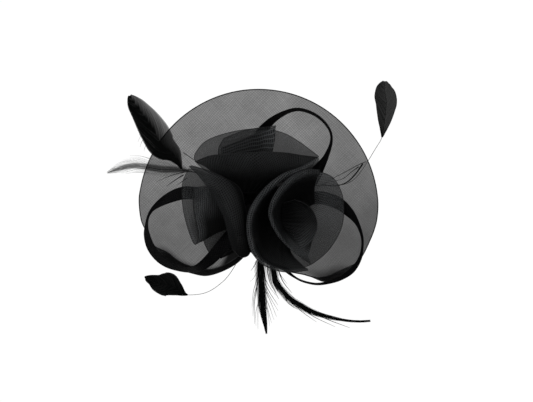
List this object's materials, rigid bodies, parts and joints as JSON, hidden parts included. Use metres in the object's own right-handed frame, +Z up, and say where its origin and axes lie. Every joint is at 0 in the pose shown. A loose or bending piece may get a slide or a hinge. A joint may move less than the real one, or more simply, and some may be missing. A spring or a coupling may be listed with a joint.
{
  "type": "fascinator headpiece",
  "caption": "Sheer crin mesh headpiece: gathered disc, braid loops, rolled rose, folded petals and dyed feathers on a felt base with a hair clip and brooch pin behind.",
  "frame": {"origin": "centre of the felt base's back face, where the piece is held on the hair", "axes": "the front faces -Y, +X is to the right seen from the front, +Z is up, +Y points back into the hair"},
  "size_m": [0.2877, 0.0668, 0.2511],
  "materials": {
    "crin_veil": "sheer black crin mesh, fine diagonal weave",
    "crin_petal": "sheer black crin mesh with a soft nylon sheen",
    "crin_braid": "black crin braid, closely woven",
    "cord": "black monofilament edge cord",
    "feather": "dyed black feather, soft sheen",
    "felt": "black wool felt",
    "thread": "black sewing thread",
    "steel": "nickel-plated stamped steel",
    "spring_steel": "plain spring steel"
  },
  "bodies": {
    "root": {"veil_disc": "crin_veil", "veil_rim_cord": "cord", "loop_upper": "crin_braid", "loop_left": "crin_braid", "loop_right": "crin_braid", "upper_petal_back": "crin_petal", "upper_petal_front": "crin_petal", "upper_tab": "crin_petal", "left_petal": "crin_petal", "left_cone": "crin_petal", "left_tail": "crin_petal", "rose_back_petal": "crin_petal", "rose_outer_roll": "crin_petal", "rose_inner_roll": "crin_petal", "rose_core": "crin_petal", "feather_upper_left": "feather", "feather_left_wispy": "feather", "feather_upper_right": "feather", "feather_lower_left": "feather", "hackle_straight": "feather", "hackle_curved": "feather", "quill_left": "feather", "quill_right": "feather", "felt_base_front": "felt", "felt_base_back": "felt", "centre_stitch_upper": "thread", "centre_stitch_lower": "thread", "plate_stitch_1": "thread", "plate_stitch_2": "thread", "plate_stitch_3": "thread", "plate_stitch_4": "thread", "finding_plate": "steel", "clip_fixed_jaw": "steel", "clip_pivot": "steel", "clip_spring": "spring_steel", "brooch_bar": "steel", "brooch_rivet": "steel"},
    "clip_jaw": {"clip_moving_jaw": "steel"},
    "pin_arm": {"brooch_pin": "steel"},
    "catch_roller": {"safety_catch": "steel"}
  },
  "joints": [
    {"name": "clip_jaw_hinge", "type": "hinge", "parent": "root", "child": "clip_jaw", "pos_m": [0.008, 0.006, 0.003], "axis": [0, 0, -1], "range_deg": [0, 28], "stiffness_Nm_per_rad": 0.02, "springref_deg": -17.19, "deforming": ["clip_spring"]},
    {"name": "brooch_pin_hinge", "type": "hinge", "parent": "root", "child": "pin_arm", "pos_m": [0.016, 0.0042, 0.014], "axis": [0, 0, -1], "range_deg": [0, 75]},
    {"name": "safety_catch_turn", "type": "hinge", "parent": "root", "child": "catch_roller", "pos_m": [-0.016, 0.0042, 0.014], "axis": [-1, 0, 0], "range_deg": [0, 100]}
  ]
}
